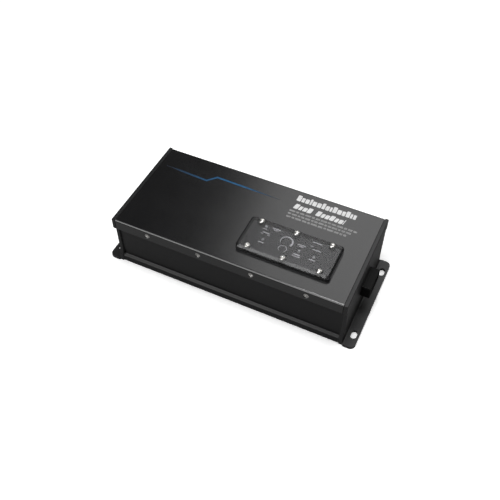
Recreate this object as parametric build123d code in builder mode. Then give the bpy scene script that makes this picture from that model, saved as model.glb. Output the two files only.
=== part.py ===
from build123d import *
import os

# Weather-sealed two-channel audio power amplifier for a vehicle or a boat.
# An extruded tray carries the boards, a U-shaped cover closes it, and two cast end plates
# with slotted feet close the ends. Small controls sit under a clear screwed-down cover.
#
# Millimetres. X runs along the body towards the connector end, Y towards the back, Z up.
# The origin is in the mounting plane, under the middle of the body.

os.makedirs("parts", exist_ok=True)

# ------------------------------------------------------------------ overall sizes
body_length = 240.0
cover_width = 113.0
body_height = 62.2

# ------------------------------------------------------------------ fits
slip_gap = 0.15
thread_gap = 0.05
screw_gap = 0.2
running_gap = 0.05

# ------------------------------------------------------------------ screws (M3)
screw_radius = 1.5
sunk_head_radius = 2.8
pan_head_radius = 2.8
pan_head_height = 1.9
cross_width = 0.8
cross_depth = 0.9

# ------------------------------------------------------------------ top cover
cover_top_thickness = 3.0
cover_side_thickness = 2.2
cover_side_depth = 12.0
cover_edge_radius = 2.0
cover_lip_radius = 0.5
cover_screw_pitch = 54.1
cover_screw_count = 4
cover_screw_drop = 6.2
cover_screw_length = 8.0
cover_gasket_thickness = 0.6
cover_gasket_width = 5.0

# ------------------------------------------------------------------ tray
tray_wall_thickness = 3.0
tray_wall_recess = 5.0
tray_floor_thickness = 3.8
underside_relief = 1.2
foot_setback = 2.2
foot_width = 10.3
foot_height = 7.6
foot_ledge_rise = 1.5
foot_edge_radius = 0.8
rail_width = 7.15
rail_overlap = 11.2
screw_boss_radius = 3.4
screw_boss_inset = 2.3
screw_boss_height = 9.5

# ------------------------------------------------------------------ end plates
end_plate_thickness = 3.5
end_gasket_thickness = 0.8
end_gasket_inset = 0.8
waist_setback = 3.5
plate_foot_setback = 1.7
flare_top = 20.0
flare_bottom = 8.0
flange_reach = 12.0
flange_width = 112.0
flange_thickness = 3.2
flange_neck_length = 1.5
flange_corner_radius = 5.0
plate_edge_radius = 0.8
flange_root_radius = 1.2
slot_width = 5.6
slot_length = 9.6
slot_spacing = 82.0
slot_end_margin = 5.0
end_screw_length = 12.0

# ------------------------------------------------------------------ connector
connector_width = 27.0
connector_depth = 14.0
connector_height = 33.0
connector_reach = 9.0
connector_wall = 1.3
connector_corner_radius = 1.5
connector_mouth_chamfer = 0.4
connector_floor = 1.0
connector_flange_margin = 6.5
connector_flange_lip = 3.0
connector_flange_thickness = 2.0
connector_block_thickness = 3.0
connector_screw_edge = 3.1
connector_screw_bite = 2.5
pin_size = 1.2
pin_pitch = 4.0
pin_row_pitch = 6.0
pin_columns = 6
pin_setback = 4.5
pin_leg_gap = 1.2
pin_leg_pitch = 4.0
pin_tail = 1.0

# ------------------------------------------------------------------ control cover
control_x = 48.1
control_y = -16.4
control_cover_x = 48.7
control_cover_y = -18.1
control_length = 93.0
control_depth = 41.2
control_thickness = 5.2
control_corner_radius = 4.0
control_bevel = 2.0
control_gasket_thickness = 0.8
control_gasket_width = 2.8
control_gasket_ear = 3.4
control_screw_spacing_x = 35.4
control_screw_spacing_y = 32.8
control_screw_length = 10.0
spot_face_radius = 3.2
spot_face_depth = 0.8

# ------------------------------------------------------------------ controls
control_board_length = 80.0
control_board_depth = 32.0
board_thickness = 1.6
control_board_drop = 6.6
control_spacer_x = 72.0
control_spacer_y = 16.0
spacer_radius = 2.6
control_body_height = 5.0
level_x = -5.1
level_y = 3.7
level_radius = 3.8
level_pot_size = 8.6
crossover_x = -5.1
crossover_y = -5.6
crossover_radius = 2.6
crossover_pot_size = 6.6
knob_hole_gap = 0.3
knob_sink = 0.3
knob_lift = 0.3
knob_flutes = 14
knob_flute_radius = 0.35
knob_slot_width = 0.9
knob_slot_depth = 1.0
shaft_radius = 1.5
shaft_length = 3.6
input_switch_x = -26.3
filter_switch_x = 9.5
turn_on_switch_x = 24.5
switch_y = -0.6
switch_width = 5.0
switch_length = 12.0
switch_travel = 3.0
lever_width = 2.2
lever_length = 2.6
lever_sink = 0.6
lever_depth = 2.6
lever_slot_gap = 0.4
lamp_x = -29.5
lamp_y = 13.1
lamp_radius = 1.5
lamp_height = 2.0

# ------------------------------------------------------------------ main board
board_lift = 9.0
board_end_gap = 5.7
board_connector_gap = 3.7
board_side_gap = 1.2
standoff_x = 98.0
standoff_y = 74.0
standoff_radius = 3.2
board_screw_length = 6.0

# ------------------------------------------------------------------ parts on the board
transformer_x = -62.0
transformer_radius = 23.0
transformer_bore = 9.0
transformer_height = 22.0
transformer_round = 5.0
transformer_pad_thickness = 1.0
washer_radius = 15.0
washer_thickness = 1.5
bolt_radius = 2.0
bolt_head_radius = 3.8
bolt_head_height = 2.4
nut_radius = 4.0
nut_height = 3.0
capacitor_radius = 11.0
capacitor_height = 30.0
capacitor_x = -10.0
capacitor_pitch_x = 24.0
capacitor_pitch_y = 26.0
choke_x = 72.0
choke_spacing = 48.0
choke_radius = 9.0
choke_bore = 3.5
choke_height = 14.0
chip_length = 10.0
chip_width = 7.5
chip_height = 2.5
ribbon_x = -18.0
ribbon_width = 18.0
ribbon_thickness = 0.9
ribbon_upper_y = 4.0
ribbon_step = 9.0
ribbon_bend = 4.0
ribbon_socket_depth = 5.0
ribbon_socket_height = 6.0

# ------------------------------------------------------------------ power stage
package_width = 15.5
package_thickness = 4.5
package_height = 20.0
package_lift = 6.4
package_pitch = 30.0
package_count = 4
lead_width = 1.2
lead_thickness = 0.6
lead_pitch = 5.45
pad_thickness = 0.6
clamp_thickness = 3.5
clamp_height = 10.0
clamp_overhang = 3.25
clamp_screw_bite = 2.4

# ------------------------------------------------------------------ places worked out
half_length = body_length / 2
half_width = cover_width / 2
plate_inner_x = half_length - end_plate_thickness
tray_end_x = plate_inner_x - end_gasket_thickness
tray_length = 2 * tray_end_x
plate_foot_y = half_width - plate_foot_setback

cover_bottom_z = body_height - cover_side_depth
cover_under_z = body_height - cover_top_thickness
skirt_inner_y = half_width - cover_side_thickness
cover_screw_z = body_height - cover_screw_drop

rail_outer_y = skirt_inner_y - slip_gap
rail_inner_y = rail_outer_y - rail_width
rail_top_z = cover_under_z - cover_gasket_thickness
rail_bottom_z = body_height - rail_overlap
wall_outer_y = half_width - tray_wall_recess
wall_inner_y = wall_outer_y - tray_wall_thickness
foot_outer_y = half_width - foot_setback
foot_inner_y = foot_outer_y - foot_width
floor_z = underside_relief + tray_floor_thickness
boss_y = wall_inner_y - screw_boss_inset
rail_screw_y = rail_outer_y - rail_width / 2
rail_screw_z = (rail_bottom_z + rail_top_z) / 2
end_screw_spots = [
    (side * y, z)
    for side in (-1, 1)
    for y, z in ((boss_y, screw_boss_height), (rail_screw_y, rail_screw_z))
]

control_under_z = body_height + control_gasket_thickness
control_top_z = control_under_z + control_thickness
control_seat_z = control_top_z - spot_face_depth
control_screw_spots = [
    (control_cover_x + column * control_screw_spacing_x, control_cover_y + row * control_screw_spacing_y / 2)
    for column in (-1, 0, 1)
    for row in (-1, 1)
]

control_board_top_z = cover_under_z - control_board_drop
control_board_under_z = control_board_top_z - board_thickness
control_body_top_z = control_board_top_z + control_body_height
control_spacer_spots = [
    (control_x + column * control_spacer_x / 2, control_y + row * control_spacer_y / 2)
    for column in (-1, 1)
    for row in (-1, 1)
]
switch_xs = (input_switch_x, filter_switch_x, turn_on_switch_x)
lever_slot_length = lever_length + switch_travel + 2 * lever_slot_gap
level_spot = (control_x + level_x, control_y + level_y)
crossover_spot = (control_x + crossover_x, control_y + crossover_y)
lamp_spot = (control_x + lamp_x, control_y + lamp_y)

board_under_z = floor_z + board_lift
board_top_z = board_under_z + board_thickness
board_left_x = -tray_end_x + board_end_gap
board_right_x = tray_end_x - board_connector_gap
board_half_width = wall_inner_y - board_side_gap
standoff_spots = [(x, side * standoff_y / 2) for x in (-standoff_x, 0, standoff_x) for side in (-1, 1)]

seal_inner_x = plate_inner_x - end_gasket_thickness
connector_flange_back_x = seal_inner_x - connector_flange_thickness
connector_back_x = connector_flange_back_x - connector_block_thickness
connector_mouth_x = half_length + connector_reach
connector_flange_width = connector_width + 2 * connector_flange_margin
connector_flange_height = connector_depth + 2 * connector_flange_lip
connector_screw_y = connector_flange_width / 2 - connector_screw_edge
pin_columns_y = [(column - (pin_columns - 1) / 2) * pin_pitch for column in range(pin_columns)]
pin_tip_x = connector_mouth_x - pin_setback
lower_leg_x = connector_back_x - pin_leg_gap
upper_leg_x = lower_leg_x - pin_leg_pitch

pad_inner_y = wall_inner_y - pad_thickness
package_inner_y = pad_inner_y - package_thickness
package_middle_y = (pad_inner_y + package_inner_y) / 2
package_bottom_z = board_top_z + package_lift
package_middle_z = package_bottom_z + package_height / 2
package_xs = [(i - (package_count - 1) / 2) * package_pitch for i in range(package_count)]
clamp_screw_xs = [(i - (package_count - 2) / 2) * package_pitch for i in range(package_count - 1)]
clamp_length = (package_count - 1) * package_pitch + package_width + 2 * clamp_overhang
clamp_inner_y = package_inner_y - clamp_thickness

capacitor_spots = [
    (capacitor_x + column * capacitor_pitch_x / 2, row * capacitor_pitch_y / 2)
    for column in (-1, 1)
    for row in (-1, 1)
]

chip_spots = ((choke_x - 24, 0), (choke_x, 0), (choke_x + 20, 24))

from_top = (Align.CENTER, Align.CENTER, Align.MAX)
from_bottom = (Align.CENTER, Align.CENTER, Align.MIN)


# ------------------------------------------------------------------ shared shapes
def facing(x, y, z, direction):
    """A place at (x, y, z) whose own Z axis points along direction."""
    return Plane(origin=(x, y, z), z_dir=direction).location


def cross_recess(head_radius):
    """Cuts a cross-shaped driver recess into the top of each head at the current places."""
    Box(1.2 * head_radius, cross_width, cross_depth, align=from_top, mode=Mode.SUBTRACT)
    Box(cross_width, 1.2 * head_radius, cross_depth, align=from_top, mode=Mode.SUBTRACT)


def sunk_screws(places, length):
    """Countersunk screws whose flat heads end flush at the places."""
    with BuildPart() as screws:
        with Locations(*places):
            Cylinder(screw_radius - thread_gap, length, align=from_top)
            Cone(
                screw_radius - thread_gap,
                sunk_head_radius - thread_gap,
                sunk_head_radius - screw_radius,
                align=from_top,
            )
            cross_recess(sunk_head_radius)
    return screws


def pan_screws(places, length, head_radius=pan_head_radius, head_height=pan_head_height):
    """Pan-head screws whose heads stand on the places, with shanks running the other way."""
    rim = 0.6 * head_height
    with BuildPart() as screws:
        with Locations(*places):
            Cylinder(screw_radius - thread_gap, length, align=from_top)
            Cylinder(head_radius, rim, align=from_bottom)
        with Locations(*[place * Location((0, 0, rim)) for place in places]):
            Cone(head_radius, 0.7 * head_radius, head_height - rim, align=from_bottom)
        with Locations(*[place * Location((0, 0, head_height)) for place in places]):
            cross_recess(head_radius)
    return screws


def end_outline(x, inset):
    """The outline of an end plate, drawn in from its edge by inset, as a face across X at x."""
    with BuildSketch(Plane.YZ.offset(x)) as outline:
        with BuildLine():
            upper = Polyline(
                (0, body_height),
                (half_width, body_height),
                (half_width, cover_bottom_z),
                (half_width - waist_setback, cover_bottom_z),
                (half_width - waist_setback, flare_top),
            )
            flare = TangentArc(upper @ 1, (plate_foot_y, flare_bottom), tangent=(0, -1))
            Polyline(flare @ 1, (plate_foot_y, 0), (0, 0))
            mirror(about=Plane.YZ)
        make_face()
        if inset > 0:
            offset(amount=-inset, kind=Kind.INTERSECTION, mode=Mode.REPLACE)
    return outline.sketch


# ------------------------------------------------------------------ tray
with BuildPart() as tray:
    with BuildSketch(Plane.YZ) as tray_section:
        with BuildLine():
            Polyline(
                (0, underside_relief),
                (foot_inner_y, underside_relief),
                (foot_inner_y, 0),
                (foot_outer_y, 0),
                (foot_outer_y, foot_height),
                (wall_outer_y, foot_height + foot_ledge_rise),
                (wall_outer_y, rail_bottom_z),
                (rail_outer_y, rail_bottom_z),
                (rail_outer_y, rail_top_z),
                (rail_inner_y, rail_top_z),
                (rail_inner_y, rail_bottom_z),
                (wall_inner_y, rail_bottom_z - tray_wall_thickness),
                (wall_inner_y, floor_z),
                (0, floor_z),
            )
            mirror(about=Plane.YZ)
        make_face()
        low_corners = [v for v in tray_section.vertices() if v.Y < rail_bottom_z]
        fillet([v for v in low_corners if abs(v.X) >= wall_outer_y], foot_edge_radius)
        with Locations((-boss_y, screw_boss_height), (boss_y, screw_boss_height)):
            Circle(screw_boss_radius)
    extrude(amount=tray_end_x, both=True)
    for end in (-1, 1):
        with BuildSketch(Plane.YZ.offset(end * tray_end_x)):
            with Locations(*end_screw_spots):
                Circle(screw_radius)
        extrude(amount=-end * end_screw_length, mode=Mode.SUBTRACT)
    with GridLocations(cover_screw_pitch, 2 * rail_outer_y, cover_screw_count, 2) as rail_grid:
        rail_screw_places = [
            facing(spot.position.X, spot.position.Y, cover_screw_z, (0, spot.position.Y, 0))
            for spot in rail_grid.locations
        ]
    with Locations(*rail_screw_places):
        Hole(screw_radius, cover_screw_length)
    clamp_hole_places = [
        facing(x, side * wall_inner_y, package_middle_z, (0, -side, 0))
        for side in (-1, 1)
        for x in clamp_screw_xs
    ]
    with Locations(*clamp_hole_places):
        Hole(screw_radius, clamp_screw_bite)
    with Locations(*[(x, y, floor_z) for x, y in standoff_spots]):
        Hole(screw_radius, tray_floor_thickness - underside_relief)

tray.part.label = "tray"
export_step(tray.part, "parts/tray.step")

# ------------------------------------------------------------------ top cover
with BuildPart() as top_cover:
    with BuildSketch(Plane.YZ) as cover_section:
        with Locations((0, body_height)):
            Rectangle(cover_width, cover_side_depth, align=(Align.CENTER, Align.MAX))
        fillet(cover_section.vertices().group_by(Axis.Y)[-1], cover_edge_radius)
        fillet(cover_section.vertices().group_by(Axis.Y)[0], cover_lip_radius)
        with Locations((0, cover_under_z)):
            Rectangle(
                2 * skirt_inner_y,
                cover_side_depth,
                align=(Align.CENTER, Align.MAX),
                mode=Mode.SUBTRACT,
            )
    extrude(amount=tray_end_x, both=True)
    cover_screw_places = [
        facing(
            (column - (cover_screw_count - 1) / 2) * cover_screw_pitch,
            side * half_width,
            cover_screw_z,
            (0, side, 0),
        )
        for column in range(cover_screw_count)
        for side in (-1, 1)
    ]
    with Locations(*cover_screw_places):
        CounterSinkHole(screw_radius + screw_gap, sunk_head_radius, 2 * cover_side_thickness, 90)
    with Locations(*[(x, y, body_height) for x, y in control_screw_spots]):
        Hole(screw_radius, 2 * cover_top_thickness)
    with Locations((*level_spot, body_height)):
        Hole(level_radius + knob_hole_gap, 2 * cover_top_thickness)
    with Locations((*crossover_spot, body_height)):
        Hole(crossover_radius + knob_hole_gap, 2 * cover_top_thickness)
    with Locations((*lamp_spot, body_height)):
        Hole(lamp_radius + slip_gap, 2 * cover_top_thickness)
    with BuildSketch(Plane.XY.offset(body_height)):
        with Locations(*[(control_x + x, control_y + switch_y) for x in switch_xs]):
            SlotOverall(lever_slot_length + lever_width, lever_width + 2 * lever_slot_gap, rotation=90)
    extrude(amount=-2 * cover_top_thickness, mode=Mode.SUBTRACT)

top_cover.part.label = "top_cover"
export_step(top_cover.part, "parts/top_cover.step")

# ------------------------------------------------------------------ seals under the cover
with BuildPart() as cover_gaskets:
    with Locations((0, rail_screw_y, rail_top_z), (0, -rail_screw_y, rail_top_z)):
        Box(tray_length, cover_gasket_width, cover_gasket_thickness, align=from_bottom)

cover_gaskets.part.label = "cover_gaskets"
export_step(cover_gaskets.part, "parts/cover_gaskets.step")

with BuildPart() as cover_screws:
    add(sunk_screws(cover_screw_places, cover_screw_length).part)

cover_screws.part.label = "cover_screws"
export_step(cover_screws.part, "parts/cover_screws.step")


# ------------------------------------------------------------------ end plates
def end_plate(side):
    """An end plate with its slotted foot; side is 1 at the connector end and -1 at the other."""
    toe_x = side * (half_length + flange_reach)
    root_middle = (side * half_length, 0, flange_thickness)
    with BuildPart() as plate:
        extrude(end_outline(side * plate_inner_x, 0), amount=side * end_plate_thickness)
        outer_rim = plate.faces().sort_by(Axis.X)[-1 if side > 0 else 0].edges()
        fillet([e for e in outer_rim if e.center().Z > flare_bottom], plate_edge_radius)
        with BuildSketch(Plane.XY) as foot:
            with BuildLine():
                Polyline(
                    (side * plate_inner_x, 0),
                    (side * plate_inner_x, plate_foot_y),
                    (side * half_length, plate_foot_y),
                    (side * (half_length + flange_neck_length), flange_width / 2),
                    (toe_x, flange_width / 2),
                    (toe_x, 0),
                )
                mirror(about=Plane.XZ)
            make_face()
            corners = foot.vertices().group_by(Axis.X)
            fillet(corners[-1] if side > 0 else corners[0], flange_corner_radius)
        extrude(amount=flange_thickness)
        root = [e for e in plate.edges().filter_by(Axis.Y) if e.center() == Vector(*root_middle)]
        fillet(root, flange_root_radius)
        with BuildSketch(Plane.XY):
            with Locations(*[(toe_x - side * slot_end_margin, y * slot_spacing / 2) for y in (-1, 1)]):
                SlotOverall(slot_length, slot_width, rotation=90)
        extrude(amount=flange_thickness, mode=Mode.SUBTRACT)
        screw_places = [facing(side * half_length, y, z, (side, 0, 0)) for y, z in end_screw_spots]
        with Locations(*screw_places):
            CounterSinkHole(screw_radius + screw_gap, sunk_head_radius, 2 * end_plate_thickness, 90)
    return plate


left_end_plate = end_plate(-1)
left_end_plate.part.label = "left_end_plate"
export_step(left_end_plate.part, "parts/left_end_plate.step")

connector_screw_places = [
    facing(connector_flange_back_x, y, connector_height, (-1, 0, 0))
    for y in (-connector_screw_y, connector_screw_y)
]
with BuildPart() as right_end_plate:
    add(end_plate(1).part)
    with BuildSketch(Plane.YZ.offset(plate_inner_x)):
        with Locations((0, connector_height)):
            RectangleRounded(
                connector_width + 2 * slip_gap,
                connector_depth + 2 * slip_gap,
                connector_corner_radius + slip_gap,
            )
    extrude(amount=end_plate_thickness, mode=Mode.SUBTRACT)
    with BuildSketch(Plane.YZ.offset(plate_inner_x)):
        with Locations((-connector_screw_y, connector_height), (connector_screw_y, connector_height)):
            Circle(screw_radius)
    extrude(amount=connector_screw_bite, mode=Mode.SUBTRACT)

right_end_plate.part.label = "right_end_plate"
export_step(right_end_plate.part, "parts/right_end_plate.step")


def end_gasket(side):
    """A die-cut seal between the tray and an end plate, with an ear round each screw."""
    inner_x = side * tray_end_x
    with BuildPart() as gasket:
        extrude(end_outline(inner_x, end_gasket_inset), amount=side * end_gasket_thickness)
        with BuildSketch(Plane.YZ.offset(inner_x)):
            with Locations((0, cover_under_z - slip_gap)):
                Rectangle(
                    2 * (wall_inner_y - slip_gap),
                    cover_under_z - floor_z - 2 * slip_gap,
                    align=(Align.CENTER, Align.MAX),
                )
            with Locations(*end_screw_spots):
                Circle(screw_boss_radius, mode=Mode.SUBTRACT)
        extrude(amount=side * end_gasket_thickness, mode=Mode.SUBTRACT)
        with BuildSketch(Plane.YZ.offset(inner_x)):
            with Locations(*end_screw_spots):
                Circle(screw_radius + screw_gap)
        extrude(amount=side * end_gasket_thickness, mode=Mode.SUBTRACT)
    return gasket


left_end_gasket = end_gasket(-1)
left_end_gasket.part.label = "left_end_gasket"
export_step(left_end_gasket.part, "parts/left_end_gasket.step")

right_end_gasket = end_gasket(1)
right_end_gasket.part.label = "right_end_gasket"
export_step(right_end_gasket.part, "parts/right_end_gasket.step")

end_screw_places = [
    facing(side * half_length, y, z, (side, 0, 0)) for side in (-1, 1) for y, z in end_screw_spots
]
with BuildPart() as end_plate_screws:
    add(sunk_screws(end_screw_places, end_screw_length).part)

end_plate_screws.part.label = "end_plate_screws"
export_step(end_plate_screws.part, "parts/end_plate_screws.step")

# ------------------------------------------------------------------ connector
with BuildPart() as connector_housing:
    with BuildSketch(Plane.YZ.offset(connector_flange_back_x)):
        with Locations((0, connector_height)):
            RectangleRounded(connector_flange_width, connector_flange_height, connector_corner_radius)
    extrude(amount=connector_flange_thickness)
    with BuildSketch(Plane.YZ.offset(connector_back_x)):
        with Locations((0, connector_height)):
            RectangleRounded(connector_width, connector_depth, connector_corner_radius)
    extrude(amount=connector_mouth_x - connector_back_x)
    chamfer(connector_housing.faces().sort_by(Axis.X)[-1].edges(), connector_mouth_chamfer)
    with BuildSketch(Plane.YZ.offset(half_length + connector_floor)):
        with Locations((0, connector_height)):
            RectangleRounded(
                connector_width - 2 * connector_wall,
                connector_depth - 2 * connector_wall,
                connector_corner_radius / 2,
            )
    extrude(amount=connector_reach, mode=Mode.SUBTRACT)
    with BuildSketch(Plane.YZ.offset(connector_back_x)):
        with Locations((0, connector_height)):
            with GridLocations(pin_pitch, pin_row_pitch, pin_columns, 2):
                Rectangle(pin_size + 2 * thread_gap, pin_size + 2 * thread_gap)
    extrude(amount=connector_mouth_x - connector_back_x, mode=Mode.SUBTRACT)
    with Locations(*connector_screw_places):
        Hole(screw_radius + screw_gap, connector_flange_thickness)

connector_housing.part.label = "connector_housing"
export_step(connector_housing.part, "parts/connector_housing.step")

with BuildPart() as connector_seal:
    with BuildSketch(Plane.YZ.offset(seal_inner_x)):
        with Locations((0, connector_height)):
            RectangleRounded(connector_flange_width, connector_flange_height, connector_corner_radius)
            RectangleRounded(
                connector_width + 2 * slip_gap,
                connector_depth + 2 * slip_gap,
                connector_corner_radius + slip_gap,
                mode=Mode.SUBTRACT,
            )
        with Locations((-connector_screw_y, connector_height), (connector_screw_y, connector_height)):
            Circle(screw_radius + screw_gap, mode=Mode.SUBTRACT)
    extrude(amount=end_gasket_thickness)

connector_seal.part.label = "connector_seal"
export_step(connector_seal.part, "parts/connector_seal.step")

connector_screw_length = connector_flange_thickness + end_gasket_thickness + connector_screw_bite
with BuildPart() as connector_screws:
    add(pan_screws(connector_screw_places, connector_screw_length).part)

connector_screws.part.label = "connector_screws"
export_step(connector_screws.part, "parts/connector_screws.step")

# Each pin runs back from the socket and bends down through the board.
with BuildPart() as connector_pins:
    for leg_x, row in ((lower_leg_x, -1), (upper_leg_x, 1)):
        row_z = connector_height + row * pin_row_pitch / 2
        back_x = leg_x - pin_size / 2
        with Locations(*[(back_x, y, row_z) for y in pin_columns_y]):
            Box(pin_tip_x - back_x, pin_size, pin_size, align=(Align.MIN, Align.CENTER, Align.CENTER))
        leg_height = row_z - board_under_z + pin_tail
        with Locations(*[(leg_x, y, row_z) for y in pin_columns_y]):
            Box(pin_size, pin_size, leg_height, align=from_top)

connector_pins.part.label = "connector_pins"
export_step(connector_pins.part, "parts/connector_pins.step")

# ------------------------------------------------------------------ control cover
with BuildPart() as control_cover:
    with BuildSketch(Plane.XY.offset(control_under_z)):
        with Locations((control_cover_x, control_cover_y)):
            RectangleRounded(control_length, control_depth, control_corner_radius)
    extrude(amount=control_thickness)
    chamfer(control_cover.faces().sort_by(Axis.Z)[-1].edges(), control_bevel)
    with Locations(*[(x, y, control_top_z) for x, y in control_screw_spots]):
        CounterBoreHole(screw_radius + screw_gap, spot_face_radius, spot_face_depth, control_thickness)

control_cover.part.label = "control_cover"
export_step(control_cover.part, "parts/control_cover.step")

with BuildPart() as control_cover_gasket:
    with BuildSketch(Plane.XY.offset(body_height)):
        with Locations((control_cover_x, control_cover_y)):
            RectangleRounded(control_length, control_depth, control_corner_radius)
            RectangleRounded(
                control_length - 2 * control_gasket_width,
                control_depth - 2 * control_gasket_width,
                control_corner_radius - control_gasket_width,
                mode=Mode.SUBTRACT,
            )
        with Locations(*control_screw_spots):
            Circle(control_gasket_ear)
            Circle(screw_radius + screw_gap, mode=Mode.SUBTRACT)
    extrude(amount=control_gasket_thickness)

control_cover_gasket.part.label = "control_cover_gasket"
export_step(control_cover_gasket.part, "parts/control_cover_gasket.step")

control_screw_places = [Location((x, y, control_seat_z)) for x, y in control_screw_spots]
with BuildPart() as control_cover_screws:
    add(pan_screws(control_screw_places, control_screw_length).part)

control_cover_screws.part.label = "control_cover_screws"
export_step(control_cover_screws.part, "parts/control_cover_screws.step")

# ------------------------------------------------------------------ control board
with BuildPart() as control_board:
    with BuildSketch(Plane.XY.offset(control_board_under_z)):
        with Locations((control_x, control_y)):
            Rectangle(control_board_length, control_board_depth)
        with Locations(*control_spacer_spots):
            Circle(screw_radius + screw_gap, mode=Mode.SUBTRACT)
    extrude(amount=board_thickness)

control_board.part.label = "control_board"
export_step(control_board.part, "parts/control_board.step")

with BuildPart() as control_board_spacers:
    with Locations(*[(x, y, control_board_top_z) for x, y in control_spacer_spots]):
        Cylinder(spacer_radius, control_board_drop, align=from_bottom)
        Cylinder(screw_radius, control_board_drop - 1, align=from_bottom, mode=Mode.SUBTRACT)

control_board_spacers.part.label = "control_board_spacers"
export_step(control_board_spacers.part, "parts/control_board_spacers.step")

control_board_screw_places = [
    facing(x, y, control_board_under_z, (0, 0, -1)) for x, y in control_spacer_spots
]
with BuildPart() as control_board_screws:
    add(pan_screws(control_board_screw_places, board_screw_length).part)

control_board_screws.part.label = "control_board_screws"
export_step(control_board_screws.part, "parts/control_board_screws.step")


# ------------------------------------------------------------------ rotary controls
def rotary_body(spot, size):
    """The fixed square body of a rotary control, bored for its shaft."""
    with BuildPart() as body:
        with Locations((*spot, control_board_top_z)):
            Box(size, size, control_body_height, align=from_bottom)
        with Locations((*spot, control_body_top_z)):
            Cylinder(
                shaft_radius + running_gap,
                shaft_length + running_gap,
                align=from_top,
                mode=Mode.SUBTRACT,
            )
    return body


def knob(spot, radius):
    """A fluted knob with a pointer slot, on the shaft that turns in the rotary body."""
    top_z = body_height - knob_sink
    foot_z = control_body_top_z + knob_lift
    with BuildPart() as turning:
        with Locations((*spot, foot_z)):
            Cylinder(radius, top_z - foot_z, align=from_bottom)
            Cylinder(shaft_radius, shaft_length + knob_lift - running_gap, align=from_top)
            with PolarLocations(radius, knob_flutes):
                Cylinder(knob_flute_radius, top_z - foot_z, align=from_bottom, mode=Mode.SUBTRACT)
        with Locations((*spot, top_z)):
            Box(
                knob_slot_width,
                radius,
                knob_slot_depth,
                align=(Align.CENTER, Align.MIN, Align.MAX),
                mode=Mode.SUBTRACT,
            )
    return turning


level_control = rotary_body(level_spot, level_pot_size)
level_control.part.label = "level_control"
export_step(level_control.part, "parts/level_control.step")

level_knob = knob(level_spot, level_radius)
level_knob.part.label = "level_knob"
export_step(level_knob.part, "parts/level_knob.step")

crossover_control = rotary_body(crossover_spot, crossover_pot_size)
crossover_control.part.label = "crossover_control"
export_step(crossover_control.part, "parts/crossover_control.step")

crossover_knob = knob(crossover_spot, crossover_radius)
crossover_knob.part.label = "crossover_knob"
export_step(crossover_knob.part, "parts/crossover_knob.step")


# ------------------------------------------------------------------ slide switches
def switch_body(x):
    """The fixed body of a slide switch, with a slot along Y for its lever."""
    with BuildPart() as body:
        with Locations((control_x + x, control_y + switch_y, control_board_top_z)):
            Box(switch_width, switch_length, control_body_height, align=from_bottom)
        with Locations((control_x + x, control_y + switch_y, control_body_top_z)):
            Box(
                lever_width + 2 * running_gap,
                lever_length + switch_travel + 2 * slip_gap,
                lever_depth + running_gap,
                align=from_top,
                mode=Mode.SUBTRACT,
            )
    return body


def switch_lever(x, start):
    """The sliding lever of a switch; start is its place in the travel: -1 front, 0 middle, 1 back."""
    top_z = body_height - lever_sink
    bottom_z = control_body_top_z - lever_depth
    lever_y = control_y + switch_y + start * switch_travel / 2
    with BuildPart() as lever:
        with Locations((control_x + x, lever_y, bottom_z)):
            Box(lever_width, lever_length, top_z - bottom_z, align=from_bottom)
        chamfer(lever.faces().sort_by(Axis.Z)[-1].edges(), lever_width / 8)
    return lever


input_switch = switch_body(input_switch_x)
input_switch.part.label = "input_switch"
export_step(input_switch.part, "parts/input_switch.step")

input_switch_lever = switch_lever(input_switch_x, -1)
input_switch_lever.part.label = "input_switch_lever"
export_step(input_switch_lever.part, "parts/input_switch_lever.step")

filter_switch = switch_body(filter_switch_x)
filter_switch.part.label = "filter_switch"
export_step(filter_switch.part, "parts/filter_switch.step")

filter_switch_lever = switch_lever(filter_switch_x, 0)
filter_switch_lever.part.label = "filter_switch_lever"
export_step(filter_switch_lever.part, "parts/filter_switch_lever.step")

turn_on_switch = switch_body(turn_on_switch_x)
turn_on_switch.part.label = "turn_on_switch"
export_step(turn_on_switch.part, "parts/turn_on_switch.step")

turn_on_switch_lever = switch_lever(turn_on_switch_x, -1)
turn_on_switch_lever.part.label = "turn_on_switch_lever"
export_step(turn_on_switch_lever.part, "parts/turn_on_switch_lever.step")

# ------------------------------------------------------------------ status light
with BuildPart() as status_lamp:
    with Locations((*lamp_spot, control_board_top_z)):
        Cylinder(lamp_radius, lamp_height, align=from_bottom)

status_lamp.part.label = "status_lamp"
export_step(status_lamp.part, "parts/status_lamp.step")

with BuildPart() as light_pipe:
    with Locations((*lamp_spot, body_height)):
        Cylinder(lamp_radius, control_board_drop + cover_top_thickness - lamp_height, align=from_top)

light_pipe.part.label = "light_pipe"
export_step(light_pipe.part, "parts/light_pipe.step")

# ------------------------------------------------------------------ main board
lead_spots = [
    (x + column * lead_pitch, side * package_middle_y)
    for x in package_xs
    for column in (-1, 0, 1)
    for side in (-1, 1)
]
pin_spots = [(leg_x, y) for leg_x in (lower_leg_x, upper_leg_x) for y in pin_columns_y]
with BuildPart() as main_board:
    with BuildSketch(Plane.XY.offset(board_under_z)):
        with Locations(((board_left_x + board_right_x) / 2, 0)):
            RectangleRounded(board_right_x - board_left_x, 2 * board_half_width, board_thickness)
        with Locations(*standoff_spots):
            Circle(screw_radius + screw_gap, mode=Mode.SUBTRACT)
        with Locations((transformer_x, 0)):
            Circle(bolt_radius + screw_gap, mode=Mode.SUBTRACT)
        with Locations(*lead_spots, *pin_spots):
            Circle(pin_size, mode=Mode.SUBTRACT)
    extrude(amount=board_thickness)

main_board.part.label = "main_board"
export_step(main_board.part, "parts/main_board.step")

with BuildPart() as board_standoffs:
    with Locations(*[(x, y, floor_z) for x, y in standoff_spots]):
        Cylinder(standoff_radius, board_lift, align=from_bottom)
        Cylinder(screw_radius, board_lift, align=from_bottom, mode=Mode.SUBTRACT)

board_standoffs.part.label = "board_standoffs"
export_step(board_standoffs.part, "parts/board_standoffs.step")

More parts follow.
